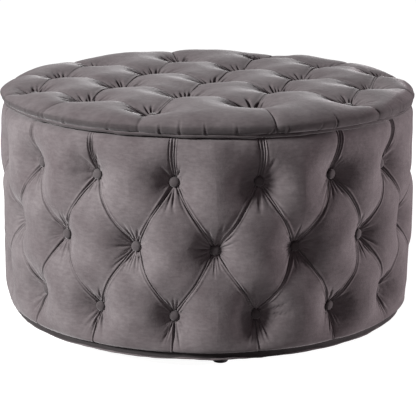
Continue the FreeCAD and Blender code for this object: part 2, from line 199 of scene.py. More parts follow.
class Ripple:
    """Smooth noise: a fixed sum of waves over an angle and a distance. It closes up round the body."""

    def __init__(self, seed, round_waves, length_waves, count=26):
        random = np.random.default_rng(seed)
        self.turns = random.integers(-round_waves, round_waves + 1, count)
        self.pitch = random.uniform(-length_waves, length_waves, count)
        self.phase = random.uniform(0, 2 * math.pi, count)

    def __call__(self, angle, along):
        total = np.zeros_like(angle)
        for turns, pitch, phase in zip(self.turns, self.pitch, self.phase):
            total += np.cos(turns * angle + 2 * math.pi * pitch * along + phase)
        return total / math.sqrt(len(self.turns) / 2)


class PlaneRipple:
    """Smooth noise over a plane."""

    def __init__(self, seed, waves, count=26):
        random = np.random.default_rng(seed)
        heading = random.uniform(0, 2 * math.pi, count)
        pitch = random.uniform(0.2, 1.0, count) * waves
        self.waves = np.stack([np.cos(heading) * pitch, np.sin(heading) * pitch], 1) * 2 * math.pi
        self.phase = random.uniform(0, 2 * math.pi, count)

    def __call__(self, points):
        return np.cos(points @ self.waves.T + self.phase).sum(1) / math.sqrt(len(self.phase) / 2)


# ---- pleats
class Pleats:
    """Shape of tufted fabric over flat points: pillows between pleats, and the pleats as folds."""

    def __init__(self, points):
        self.points = points
        self.nearness = np.zeros(len(points))
        self.detail = np.zeros(len(points))

    def along(self, start, end):
        """Signed distance across a pleat, distance past its ends, way along it, and its length."""
        start, end = np.array(start), np.array(end)
        run = end - start
        length = np.linalg.norm(run)
        run = run / length
        offset = self.points - start
        way = offset @ run
        across = offset @ np.array([-run[1], run[0]])
        past = np.maximum(0, np.maximum(-way, way - length))
        return across, past, np.clip(way, 0, length), length

    def divide(self, across, past, strength=1.0):
        """The pillows on both sides end at this line."""
        self.nearness += strength * np.maximum(np.hypot(across, past), LEAST_NEAR) ** -3

    def fill(self):
        """0 in a pleat, towards 1 in the middle of a pillow."""
        return 1 - np.exp(-self.nearness ** (-1 / 3) / PILLOW_EASE)

    def line(self, across, past, width, height):
        self.detail += height * np.exp(-(across ** 2 + past ** 2) / width ** 2)

    def diagonal(self, start, end, side):
        """A pleat between two buttons: two fold lines that run together midway, with a lip beside them."""
        across, past, way, length = self.along(start, end)
        self.divide(across, past)
        to_end = np.minimum(way, length - way)
        spread, second = (least + more * np.exp(-to_end / run)
                          for least, more, run in (PLEAT_SPREAD, SECOND_FOLD))
        self.line(across - side * spread, past, GROOVE_WIDTH, -GROOVE_DEPTH)
        self.line(across + side * spread, past, GROOVE_WIDTH, -0.85 * GROOVE_DEPTH * second)
        self.line(across + side * (spread + LIP_SHIFT), past, LIP_WIDTH, LIP_HEIGHT)
        self.line(across - side * (spread + LIP_SHIFT), past, LIP_WIDTH, 0.6 * LIP_HEIGHT)
        self.line(across, past, 1.1 * MM, 0.9 * LIP_HEIGHT)

    def upright(self, start, end, places, depth=0.9 * GROOVE_DEPTH, strength=0.5):
        """A pleat from a button to an edge: several folds side by side."""
        across, past, way, length = self.along(start, end)
        self.divide(across, past, strength)
        spread = 0.7 + 0.4 * way / length
        for place in places:
            self.line(across - place * spread, past, 1.05 * MM, -depth)
            self.line(across - (place - LIP_SHIFT) * spread, past, 1.3 * MM, LIP_HEIGHT)

    def tuck(self, start, end, depth, width=1.4 * MM):
        """A short loose fold that fades at its second end."""
        across, past, way, length = self.along(start, end)
        fade = 1 - smooth_step(way / length, 0.35, 1.0)
        lip = 1.8 * width
        self.detail -= depth * fade * np.exp(-(across ** 2 + past ** 2) / width ** 2)
        self.detail += 0.5 * depth * fade * np.exp(-((across - lip) ** 2 + past ** 2) / (1.3 * width) ** 2)


def bowl(distance, radius=BOWL_RADIUS):
    """Share of the full depth round a button: flat under it, a short cone beside it, then a wide dip."""
    clear = np.maximum(distance - BUTTON_PAD, 0)
    wide = np.exp(-(clear / radius) ** BOWL_POWER)
    return CONE_SHARE * np.exp(-clear / CONE_RADIUS) + (1 - CONE_SHARE) * wide


def beside_button(distance):
    """0 in the middle of a button's seat, 1 from its edge outwards."""
    return smooth_step(distance, 0.5 * BUTTON_PAD, BUTTON_PAD)


def puckers(distance, heading, button, seed):
    """Folds that fan out round each button, each with its own direction, length and depth."""
    random = np.random.default_rng(seed)
    most = int(button.max()) + 1
    folds = (most, PUCKER_COUNT)
    towards = (np.arange(PUCKER_COUNT) + random.uniform(-0.36, 0.36, folds)) * 2 * math.pi / PUCKER_COUNT
    strong = 0.65 + 0.35 * np.cos(towards + random.uniform(0, 2 * math.pi, (most, 1)))
    spare = (PUCKER_LONGEST - PUCKER_SHORTEST) * random.uniform(0, 1, folds)
    length = PUCKER_SHORTEST + spare * (0.4 + 0.6 * strong)
    depth = PUCKER_DEPTH * random.uniform(0.35, 1.0, folds) * (0.55 + 0.45 * strong)
    curl = random.uniform(-PUCKER_CURL, PUCKER_CURL, folds)
    height = np.zeros(len(distance))
    near = np.where(distance < PUCKER_LONGEST + BUTTON_PAD)[0]
    r, t, b = distance[near], heading[near], button[near]
    total = np.zeros(len(near))
    for fold in range(PUCKER_COUNT):
        turn = t - towards[b, fold] - curl[b, fold] * r
        across = r * np.sin(turn)
        ahead = np.cos(turn) > 0
        width = PUCKER_WIDTH + PUCKER_SPREAD * r
        fade = 1 - smooth_step(r, 0.40 * length[b, fold], BUTTON_PAD + length[b, fold])
        deep = np.minimum(depth[b, fold], PUCKER_STEEPNESS * width)
        total -= ahead * deep * fade * np.exp(-(across / width) ** 2)
    rise = 0.3 + 0.7 * smooth_step(r, BUTTON_PAD, 2.1 * BUTTON_PAD)
    height[near] = total * rise * smooth_step(r, 0.35 * BUTTON_PAD, BUTTON_PAD)
    return height


# ---- meshes
def spacing():
    """Shares of a diamond's side from 0 to 1, close together near both ends."""
    half = np.array(FINE_STEPS, float) / FINE_STEPS[-1] / 2
    return np.concatenate([half, 1 - half[-2::-1]])


SHARE = spacing()


def diamond(a, b, c, d):
    """Grid of flat points that fills the diamond between four corners, given in order round it."""
    p, q = (axis[..., None] for axis in np.meshgrid(SHARE, SHARE, indexing="ij"))
    a, b, c, d = (np.array(corner) for corner in (a, b, c, d))
    return a * (1 - p) * (1 - q) + b * p * (1 - q) + d * (1 - p) * q + c * p * q


def weld(grids):
    """Joins grids of flat points where they meet: points, and each grid's table of point numbers."""
    points = np.vstack([grid.reshape(-1, 2) for grid in grids])
    keys = np.round(points * 1e6).astype(np.int64)
    first, number = np.unique(keys, axis=0, return_index=True, return_inverse=True)[1:]
    ends = np.cumsum([grid.shape[0] * grid.shape[1] for grid in grids])
    parts = np.split(number.reshape(-1), ends[:-1])
    return points[first], [part.reshape(grid.shape[:2]) for part, grid in zip(parts, grids)]


def quads(*corners):
    """Four-sided faces from four equal tables of point numbers."""
    return np.stack(corners, -1).reshape(-1, 4)


def grid_faces(tables):
    """Quads of the grids, without the ones that have shrunk to a line."""
    faces = np.vstack([quads(t[:-1, :-1], t[:-1, 1:], t[1:, 1:], t[1:, :-1]) for t in tables])
    return faces[(faces != np.roll(faces, -1, 1)).all(1)]


def turned_outward(places, faces, outward):
    """The faces, each in the order that makes it face along outward."""
    a, b, c = (places[faces[:, i]] for i in range(3))
    facing = np.einsum("ij,ij->i", np.cross(b - a, c - a), outward[faces[:, 0]])
    return np.where((facing < 0)[:, None], faces[:, ::-1], faces)


def link_object(name, data):
    obj = bpy.data.objects.new(name, data)
    bpy.context.scene.collection.objects.link(obj)
    return obj


def make_mesh(name, places, faces, outward):
    """Mesh object from arrays of points and quads, turned to face along outward, smooth shaded."""
    outward = np.broadcast_to(outward, places.shape).reshape(-1, 3)
    places = places.reshape(-1, 3)
    faces = turned_outward(places, faces, outward)
    mesh = bpy.data.meshes.new(name)
    mesh.vertices.add(len(places))
    mesh.vertices.foreach_set("co", places.astype(np.float32).ravel())
    mesh.loops.add(faces.size)
    mesh.loops.foreach_set("vertex_index", faces.astype(np.int32).ravel())
    mesh.polygons.add(len(faces))
    mesh.polygons.foreach_set("loop_start", np.arange(0, faces.size, 4, dtype=np.int32))
    mesh.update(calc_edges=True)
    mesh.validate()
    mesh.shade_smooth()
    return link_object(name, mesh)


def dress(obj, material, slot, body, *nodes):
    """Gives a piece its material and its body, and hides the CAD nodes it stands for; the slot is not used.
    """
    obj.data.materials.append(material)
    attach(obj, body)
    if nodes:
        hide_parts(*nodes)


def polar(radius, angle, height):
    """Points at a radius and an angle from the front."""
    return np.stack(np.broadcast_arrays(radius * np.sin(angle), -radius * np.cos(angle), height), -1)


def numbered(places):
    """Numbers of the points of a grid."""
    return np.arange(places[..., 0].size).reshape(places.shape[:-1])


# ---- cloth
CLOTH_STRIDE = 4  # the cloth is worked out on every fourth line of the fine grids
CLOTH_FRAMES = 16
CLOTH_TRAVEL = 3.2 * MM  # the cloth moves no point further than this
CLOTH_SETTINGS = {
    "quality": 6, "mass": 0.02, "tension_stiffness": 40, "compression_stiffness": 40, "shear_stiffness": 12,
    "bending_stiffness": 0.4, "tension_damping": 20, "compression_damping": 20, "air_damping": 4,
    "vertex_group_mass": "held", "pin_stiffness": 8, "use_pressure": True, "uniform_pressure_force": 38.0,
    "shrink_min": -0.010,       # how much more fabric there is than the shape needs
}
HELD_NEAR, HELD_FAR = 5.0 * MM, 16.0 * MM  # from a pleat: held up to the first, free beyond the second


def cubic_resample(values, stride):
    """Smoothly fills in stride - 1 values between each two, along the first axis."""
    padded = padded_ends(values)
    t = (np.arange(stride) / stride).reshape(-1, *([1] * values.ndim))
    filled = catmull_rom(padded[:-3], padded[1:-2], padded[2:-1], padded[3:], t)
    filled = np.moveaxis(filled, 0, 1).reshape(-1, *values.shape[1:])
    return np.concatenate([filled, values[-1:]])


def cloth_shape(places, faces, fixed):
    """The shape that velvet with a little spare fabric takes over soft filling, held where fixed is 1."""
    mesh = bpy.data.meshes.new("cloth_form")
    mesh.from_pydata(places.tolist(), [], faces.tolist())
    obj = link_object("cloth_form", mesh)
    scene = bpy.context.scene
    group = obj.vertex_groups.new(name="held")
    for level in np.unique(np.round(fixed, 2)):
        group.add(np.where(np.round(fixed, 2) == level)[0].tolist(), float(level), "REPLACE")
    cloth = obj.modifiers.new("cloth", "CLOTH")
    for setting, value in CLOTH_SETTINGS.items():
        setattr(cloth.settings, setting, value)
    cloth.settings.effector_weights.gravity = 0
    cloth.collision_settings.use_collision = False
    scene.frame_start, scene.frame_end = 1, CLOTH_FRAMES
    cloth.point_cache.frame_start, cloth.point_cache.frame_end = 1, CLOTH_FRAMES
    for frame_number in range(1, CLOTH_FRAMES + 1):
        scene.frame_set(frame_number)
    settled = obj.evaluated_get(bpy.context.evaluated_depsgraph_get()).data
    result = np.empty(len(settled.vertices) * 3, np.float32)
    settled.vertices.foreach_get("co", result)
    scene.frame_set(1)
    bpy.data.objects.remove(obj)
    bpy.data.meshes.remove(mesh)
    return result.reshape(-1, 3).astype(float)


def even_out(moved, places, faces, passes=8):
    """Smooths how far points moved, most between points that lie close together."""
    sides = [faces[:, [corner, (corner + 1) % 4]] for corner in range(4)]
    edges = np.sort(np.vstack(sides), axis=1)
    a, b = np.unique(edges[edges[:, 0] != edges[:, 1]], axis=0).T
    pull = 1 / np.maximum(np.linalg.norm(places[a] - places[b], axis=1), 0.5 * MM)
    total = np.bincount(a, pull, len(places)) + np.bincount(b, pull, len(places))
    for _ in range(passes):
        nearby = np.zeros_like(moved)
        np.add.at(nearby, a, moved[b] * pull[:, None])
        np.add.at(nearby, b, moved[a] * pull[:, None])
        moved = 0.3 * moved + 0.7 * nearby / total[:, None]
    return moved


def settle(places, outward, tables, fixed):
    """Lets a cover settle as cloth, and carries the result over to every point of its fine grids."""
    coarse = [table[::CLOTH_STRIDE, ::CLOTH_STRIDE] for table in tables]
    used = np.unique(np.concatenate([table.ravel() for table in coarse]))
    number = np.full(len(places), -1)
    number[used] = np.arange(len(used))
    faces = grid_faces([number[table] for table in coarse])
    faces = turned_outward(places[used], faces, outward[used])
    moved = cloth_shape(places[used], faces, fixed[used]) - places[used]
    moved = even_out(moved, places[used], faces)
    size = np.linalg.norm(moved, axis=1)[:, None]
    limited = CLOTH_TRAVEL * np.tanh(size / CLOTH_TRAVEL) / np.maximum(size, 1e-9)
    moved *= limited * (1 - fixed[used])[:, None]
    total = np.zeros_like(places)
    for table, small in zip(tables, coarse):
        wide = cubic_resample(moved[number[small]], CLOTH_STRIDE)
        full = np.swapaxes(cubic_resample(np.swapaxes(wide, 0, 1), CLOTH_STRIDE), 0, 1)
        total[table.ravel()] = full.reshape(-1, 3)
    return places + total


def held(pleats, creases, free):
    """1 at the creases and where free is 0, falling to 0 in the middle of the pillows."""
    nearest = np.full(len(free), 1.0)
    for start, end in creases:
        across, past = pleats.along(start, end)[:2]
        nearest = np.minimum(nearest, np.hypot(across, past))
    return 1 - smooth_step(nearest, HELD_NEAR, HELD_FAR) * free


def nearest(across, up):
    """Distance and heading from the nearest of several places, and its number."""
    distance = np.hypot(across, up)
    number = distance.argmin(1)
    pick = np.arange(len(across)), number
    return distance[pick], np.arctan2(up, across)[pick], number


# ---- body cover
BODY = Outline(BODY_OUTLINE)
BODY_TURN = float(BODY.at[np.argmax(BODY.height > RIM_FLAT_HEIGHT)])
BODY_ROWS = [BODY.along_at_height(height, BODY_TURN) for height in ROW_HEIGHTS]
BODY_PITCH = TUFT_STEP * RADIUS
BODY_RIM = BODY.along_at_height(RIM_EDGE_HEIGHT, BODY_TURN)


def body_flat_mesh(steps):
    """Flat points (distances round and along the outline) and grids of the cover round some tufts."""
    low, middle, high = BODY_ROWS
    half = BODY_PITCH / 2
    whole = diamond((0, low), (half, middle), (0, high), (-half, middle))
    grids = [whole + np.array([step * BODY_PITCH, 0]) for step in steps]
    for side in (-1, 1):
        for begin, limit, count in zip((low, high), (0.0, BODY.length), BODY_BAND_ROWS):
            rows = band_rows(abs(begin - limit), count)[:, None, None]
            crease = np.stack([side * half * SHARE, begin + (middle - begin) * SHARE], -1)
            edge = np.stack([side * half * SHARE, np.full(len(SHARE), limit)], -1)
            band = crease[None] * (1 - rows) + edge[None] * rows
            grids += [band + np.array([(step + (side < 0)) * BODY_PITCH, 0]) for step in steps]
    return weld(grids)


def band_rows(length, count):
    """Shares from a crease to an edge: close together at both ends, wider apart midway."""
    t = (np.arange(count) + 0.5) / count
    swell = (t * (1 - t)) ** 2
    size = BAND_END_ROW + swell * (length - count * BAND_END_ROW) / swell.sum()
    return np.concatenate([[0], np.cumsum(size)]) / length


def one_pitch(flat):
    """Pleats over the flat points, all moved into the pitch round one button of the lowest row."""
    within = np.mod(flat[:, 0] + BODY_PITCH / 2, BODY_PITCH) - BODY_PITCH / 2
    return Pleats(np.stack([within, flat[:, 1]], -1))


def body_relief(flat):
    """Depth of the cover below its outline at each flat point."""
    angle, along = flat[:, 0] / RADIUS, flat[:, 1]
    low, middle, high = BODY_ROWS
    pleats = one_pitch(flat)
    for x in (-BODY_PITCH, 0, BODY_PITCH):
        for sign in (-1, 1):
            elbow = (x + sign * BODY_PITCH / 2, middle)
            pleats.diagonal((x, low), elbow, sign)
            pleats.diagonal((x, high), elbow, -sign)
        pleats.upright((x, high), (x, BODY.length), UPRIGHT_PLACES)
        pleats.upright((x, low), (x, 0.0), LOWER_PLACES, 0.7 * GROOVE_DEPTH, 0.55)
    pleats.detail += body_fans(flat)
    distance, heading, button = nearest_body_button(flat)
    uneven = 1 + 0.14 * Ripple(5, 24, 14)(angle, along)
    wall = between(along, 0.004, 0.045, BODY_RIM - 0.006, BODY_RIM + 0.014)
    dip = bowl(distance)
    depth = BODY_PILLOW_DEPTH * uneven * (1 - pleats.fill()) + BODY_BOWL_DEPTH * dip
    folds = pleats.detail * (1 + 0.25 * Ripple(6, 40, 20)(angle, along)) * beside_button(distance)
    small = puckers(distance, heading, button, 11)
    rolling = ROLLING_HEIGHT * Ripple(7, 34, 16)(angle, along)
    return wall * (depth - small + rolling * (1 - dip)) - folds * (0.25 + 0.75 * wall)


def body_fans(flat):
    """Loose folds that run down from each button of the lowest row, different under each."""
    low = BODY_ROWS[0]
    loose = Pleats(flat)
    for step in range(-TUFTS_AROUND // 2, TUFTS_AROUND + TUFTS_AROUND // 2):
        x = step * BODY_PITCH
        if abs(flat[:, 0] - x).min() > BODY_PITCH:
            continue
        random = np.random.default_rng(300 + step % TUFTS_AROUND)
        for lean in FAN_LEANS:
            turn = math.radians(lean + random.uniform(-6, 6))
            length = random.uniform(0.030, 0.068)
            end = (x + length * math.sin(turn), low - length * math.cos(turn))
            loose.tuck((x, low), end, random.uniform(1.2, 3.4) * MM, 1.25 * MM)
    return loose.detail


def nearest_body_button(flat):
    """Distance and heading to the nearest button of the body, and which one it is."""
    place = flat[:, :1] / BODY_PITCH - np.array(TUFT_ROW_SHIFT)
    index = np.round(place).astype(int)
    distance, heading, row = nearest((place - index) * BODY_PITCH, flat[:, 1:] - np.array(BODY_ROWS))
    return distance, heading, row * TUFTS_AROUND + index[np.arange(len(flat)), row] % TUFTS_AROUND


def body_fixed(flat):
    """1 where the fabric is stitched or stapled down: at the pleats, the buttons and both edges."""
    low, middle, high = BODY_ROWS
    creases = []
    for x in (-BODY_PITCH, 0, BODY_PITCH):
        for begin, limit in ((low, 0.0), (high, BODY.length)):
            creases += [((x, begin), (x + side * BODY_PITCH / 2, middle)) for side in (-1, 1)]
            creases.append(((x, begin), (x, limit)))
    return held(one_pitch(flat), creases, between(flat[:, 1], 0.012, 0.035, BODY_RIM - 0.030, BODY_RIM))


def body_warp(flat):
    """Hand-made unevenness: the tufting wanders a little, and sits a few millimetres lower towards +X."""
    angle, along = flat[:, 0] / RADIUS, flat[:, 1]
    calm = between(along, 0.0, 0.05, BODY_RIM - 0.02, BODY_RIM)
    across = 1.4 * MM * Ripple(21, 20, 9)(angle, along)
    lean = 4.0 * MM * np.sin(TUFT_FIRST_ANGLE + angle)
    up = 1.0 * MM * Ripple(22, 16, 7)(angle, along) - 2.0 * MM - lean
    return flat + np.stack([across * (0.35 + 0.65 * calm), up * calm], -1)


def body_surface(flat):
    """Places and outward directions of flat points on the finished cover."""
    depth = body_relief(flat)
    moved = body_warp(flat)
    angle = TUFT_FIRST_ANGLE + moved[:, 0] / RADIUS
    radius, height = BODY.place(moved[:, 1])
    out_radius, out_height = BODY.outward(moved[:, 1])
    places = polar(radius - depth * out_radius, angle, height - depth * out_height)
    return places, polar(out_radius, angle, out_height)


def body_cover(material):
    """The cover in four panels that meet in the pleats."""
    names = ("body_velvet_front", "body_velvet_right", "body_velvet_back", "body_velvet_left")
    quarter = TUFTS_AROUND // 4
    for number, name in enumerate(names):
        first = number * quarter - quarter // 2
        flat, tables = body_flat_mesh(range(first, first + quarter))
        places, outward = body_surface(flat)
        places = settle(places, outward, tables, body_fixed(flat))
        panel = make_mesh(name, places, grid_faces(tables), outward)
        nodes = ("body_cover", "body_foam") if number == 0 else ()
        dress(panel, material, "velvet", "root", *nodes)


# ---- lid cover
LID = Outline(LID_OUTLINE)
LID_EDGE = float(LID.at[np.argmax(LID.at * (LID.height > LID_EDGE_HEIGHT))])


def lattice_point(i, j):
    """Where a button of the lid's diamond lattice sits, or None beyond the last ones."""
    across = (i - j) * LID_DIAMOND_WIDTH / 2
    along = (i + j) * LID_DIAMOND_LENGTH / 2
    distance = math.hypot(across, along)
    if distance > LID_TUFT_OUTER_LIMIT or (distance > LID_TUFT_LIMIT and i + j != 0):
        return None
    scale = min(1.0, LID_TUFT_OUTER_RADIUS / distance) if distance else 1.0
    cos, sin = math.cos(LID_DIAMOND_TURN), math.sin(LID_DIAMOND_TURN)
    x, y = across * cos - along * sin, across * sin + along * cos
    return (x * scale + LID_DIAMOND_OFFSET_X, y * scale)


LATTICE = {(i, j): lattice_point(i, j) for i in range(-3, 4) for j in range(-3, 4) if lattice_point(i, j)}
SEATS = np.array(list(LATTICE.values()))
LID_CELLS_IJ = [(i, j) for i, j in LATTICE if {(i + 1, j), (i + 1, j + 1), (i, j + 1)} <= set(LATTICE)]


def cell_sides(i, j):
    """The four sides of a diamond, each as its two buttons."""
    loop = [(i, j), (i + 1, j), (i + 1, j + 1), (i, j + 1)]
    return list(zip(loop, loop[1:] + loop[:1]))


def lid_seams():
    """Each side of the diamonds once."""
    seams = []
    for cell in LID_CELLS_IJ:
        seams += [side for side in cell_sides(*cell) if side[::-1] not in seams]
    return seams


LID_SEAMS = lid_seams()


def lid_boundary():
    """The buttons round the outside of the whole diamonds, in order, each with its angle at the rim."""
    sides = [side for cell in LID_CELLS_IJ for side in cell_sides(*cell)]
    follow = {a: b for a, b in sides if (b, a) not in sides}
    loop = [min(follow)]
    while follow[loop[-1]] != loop[0]:
        loop.append(follow[loop[-1]])
    places = np.array([LATTICE[key] for key in loop])
    angles = np.unwrap(np.arctan2(places[:, 1], places[:, 0]))
    before, after = np.roll(places, 1, 0), np.roll(places, -1, 0)
    turn = (places[:, 0] - before[:, 0]) * (after[:, 1] - places[:, 1])
    turn -= (places[:, 1] - before[:, 1]) * (after[:, 0] - places[:, 0])
    full = 2 * math.pi
    outer = turn > 0
    for index in np.where(~outer)[0]:
        previous = angles[index - 1] - (full if index == 0 else 0)
        following = angles[(index + 1) % len(loop)] + (full if index + 1 == len(loop) else 0)
        angles[index] = (previous + following) / 2
    return loop, places, angles, outer


LID_LOOP, LID_LOOP_PLACES, LID_LOOP_ANGLES, LID_LOOP_OUTER = lid_boundary()


def rim_point(angle, along):
    """Flat point of the lid at an angle, and at a distance along the outline."""
    return np.stack([np.cos(angle), np.sin(angle)], -1) * along


def lid_flat_mesh():
    """Points of the lid's cover spread flat, a disc whose radius runs along the outline, and its grids."""
    grids = [diamond(*(LATTICE[start] for start, _ in cell_sides(*cell))) for cell in LID_CELLS_IJ]
    rows = band_rows(LID_BAND_LENGTH, LID_BAND_ROWS)[:, None, None]
    count = len(LID_LOOP)
    for index in range(count):
        after = (index + 1) % count
        first, last = LID_LOOP_ANGLES[index], LID_LOOP_ANGLES[after] + (2 * math.pi if after == 0 else 0)
        inner = LID_LOOP_PLACES[index] + (LID_LOOP_PLACES[after] - LID_LOOP_PLACES[index]) * SHARE[:, None]
        angle = first + (last - first) * (0.25 * SHARE + 0.75 * np.linspace(0, 1, len(SHARE)))
        grids.append(inner[None] * (1 - rows) + rim_point(angle, LID.length)[None] * rows)
    return weld(grids)


def lid_tucks(pleats):
    """Short folds all round the lower edge of the lid, uneven in place and length."""
    random = np.random.default_rng(31)
    count = LID_TUCK_COUNT
    for index in range(count):
        angle = 2 * math.pi * (index + random.uniform(-0.3, 0.3)) / count
        lean = random.uniform(-0.03, 0.03)
        length = random.uniform(0.016, 0.040)
        depth = random.uniform(2.5, 9.0) * MM
        pleats.tuck(rim_point(angle, LID_EDGE), rim_point(angle + lean, LID_EDGE - length), depth, 1.6 * MM)


def lid_relief(flat):
    """Depth of the lid's cover below its outline at each flat point."""
    pleats = Pleats(flat)
    for a, b in LID_SEAMS:
        pleats.diagonal(LATTICE[a], LATTICE[b], 1 if a[0] == b[0] else -1)
    for place, angle, outer in zip(LID_LOOP_PLACES, LID_LOOP_ANGLES, LID_LOOP_OUTER):
        if outer:
            pleats.upright(place, rim_point(angle, LID_EDGE), (0.0,), 0.8 * GROOVE_DEPTH, 0.35)
    lid_tucks(pleats)
    distance, heading, button = nearest(flat[:, :1] - SEATS[:, 0], flat[:, 1:] - SEATS[:, 1])
    reach = np.hypot(*flat.T)
    calm = 1 - smooth_step(reach, LID_EDGE - 0.012, LID_EDGE)
    uneven = 1 + 0.15 * PlaneRipple(41, 9)(flat)
    dip = bowl(distance, LID_BOWL_RADIUS) * (1 - RIM_BOWL_SHARE * smooth_step(reach, 0.362, 0.400))
    pillow = LID_PILLOW_DEPTH * uneven * (1 - pleats.fill()) * (0.35 + 0.65 * calm)
    small = LID_PUCKER_SHARE * puckers(distance, heading, button, 43)
    folds = LID_FOLD_SHARE * pleats.detail * beside_button(distance)
    rolling = ROLLING_HEIGHT * PlaneRipple(44, 14)(flat) * (1 - dip)
    return pillow + LID_BOWL_DEPTH * dip * calm - small + rolling * calm - folds


def lid_fixed(flat):
    """1 where the lid's fabric is held: at the pleats, the buttons and its lower edge."""
    reach = np.hypot(*flat.T)
    top = 1 - smooth_step(reach, LID_EDGE - 0.055, LID_EDGE - 0.020)
    return held(Pleats(flat), [(LATTICE[a], LATTICE[b]) for a, b in LID_SEAMS], top)


def lid_warp(flat):
    """Hand-made unevenness of the lid's tufting."""
    reach = np.hypot(*flat.T)
    calm = 1 - smooth_step(reach, 0.30, LID_EDGE)
    shift = np.stack([PlaneRipple(51, 7)(flat), PlaneRipple(52, 7)(flat)], -1)
    return flat + 1.6 * MM * shift * calm[:, None]


def welt_drop(radius, x, height):
    """The lid's edge and its piping hang a little lower towards +X; the stapled edge under them doesn't."""
    outer = smooth_step(radius, 0.3805, 0.3875)
    return -WELT_TILT * x * outer * (1 - smooth_step(height, WELT_HIGH.z, WELT_HIGH.z + 0.030))


def lid_surface(flat):
    """Places and outward directions of flat points on the finished lid."""
    depth = lid_relief(flat)
    moved = lid_warp(flat)
    reach = np.hypot(*moved.T)
    heading = moved / np.maximum(reach, 1e-9)[:, None]
    radius, height = LID.place(reach)
    out_radius, out_height = LID.outward(reach)
    out_radius, out_height = -out_radius, -out_height
    places = np.column_stack([heading * (radius - depth * out_radius)[:, None], height - depth * out_height])
    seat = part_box("lid_board")[1].z + SEAT_PADDING
    places[:, 2] = np.where(out_height > 0.5, np.maximum(places[:, 2], seat), places[:, 2])
    places[:, 2] += welt_drop(np.hypot(places[:, 0], places[:, 1]), places[:, 0], places[:, 2])
    return places, np.column_stack([heading * out_radius[:, None], out_height])


def lid_cover(material):
    """The lid's cover in one piece, wrapped under its lower edge."""
    flat, tables = lid_flat_mesh()
    places, outward = lid_surface(flat)
    places = settle(places, outward, tables, lid_fixed(flat))
    cover = make_mesh("lid_velvet", places, grid_faces(tables), outward)
    dress(cover, material, "velvet", "lid", "lid_cover", "lid_foam")


# ---- buttons
def button_shell():
    """Covered button: a domed top that turns under at its edge. Points, quads, and triangles at the top."""
    sides = BUTTON_SIDES
    t = np.linspace(0, 1, BUTTON_RINGS + 1)
    radius = BUTTON_RADIUS * np.concatenate([np.sin(t[1:] * math.pi / 2) ** 0.85, [0.98, 0.90, 0.78]])
    height = BUTTON_RISE * (0.22 + 0.78 * np.cos(t[1:] * math.pi / 2))
    height = np.concatenate([height, [0.0, -1.2 * MM, -3.0 * MM]])
    angle = np.linspace(0, 2 * math.pi, sides, endpoint=False)
    points = np.stack([radius[:, None] * np.cos(angle), radius[:, None] * np.sin(angle),
                       np.repeat(height[:, None], sides, 1)], -1).reshape(-1, 3)
    index = np.arange(len(radius) * sides).reshape(len(radius), sides)
    after = np.roll(index, -1, 1)
    cap = np.stack([np.full(sides, len(points)), index[0], after[0]], -1)
    points = np.vstack([points, [[0, 0, BUTTON_RISE]]])
    return points, quads(index[:-1], index[1:], after[1:], after[:-1]), cap


def buttons(name, seats, outwards, material, body, node):
    """One object that holds a row of covered buttons, each turned a little differently."""
    points, faces, cap = button_shell()
    random = np.random.default_rng(len(seats) + len(name))
    everything, sides, tops = [], [], []
    for number, (seat, outward) in enumerate(zip(seats, outwards)):
        axis = Vector(outward)
        lean = Vector(random.uniform(-0.09, 0.09, 3))
        turn = np.array((axis + lean).to_track_quat("Z", "Y").to_matrix())
        everything.append(points @ turn.T + np.array(seat) + np.array(outward) * BUTTON_LIFT)
        sides.append(faces + number * len(points))
        tops.append(cap + number * len(points))
    mesh = bpy.data.meshes.new(name)
    faces = np.vstack(sides).tolist() + np.vstack(tops).tolist()
    mesh.from_pydata(np.vstack(everything).tolist(), [], faces)
    mesh.validate()
    mesh.shade_smooth()
    obj = link_object(name, mesh)
    dress(obj, material, "velvet", body, node)


def all_buttons(material):
    """The three rows of the body and the lid's lattice."""
    for node, along, shift in zip(TUFT_ROW_NODES, BODY_ROWS, TUFT_ROW_SHIFT):
        flat = np.array([[(step + shift) * BODY_PITCH, along] for step in range(TUFTS_AROUND)])
        places, outward = body_surface(flat)
        buttons(node.replace("buttons", "covered_buttons"), places, outward, material, "root", node)
    places, outward = lid_surface(SEATS)
    buttons("lid_covered_buttons", places, outward, material, "lid", "lid_buttons")


# ---- piping and base
PIPING_SIDES = 14
PIPING_STEPS, REAR_PIPING_STEPS = 900, 60
PIPING_SEED = 61
LID_PIPING_GIRTH = 2.9 * MM
BASE_STEPS = 720
BASE_LIP_GIRTH = 1.7 * MM
# section of the wrapped base edge in mm: how far out from the CAD band, and how far up from its lower edge
BASE_SECTION = ((-9.0, 0.8), (-5.0, 0.6), (-1.5, 0.5), (0.2, 1.2), (0.9, 2.6), (0.5, 4.0), (-0.6, 5.0),
                (-1.4, 6.4), (-1.7, 9.0), (-1.8, 11.0), (-1.8, 14.0))


def ring_ripple(seed, waves, angles):
    return Ripple(seed, waves, 1)(angles, np.zeros_like(angles))


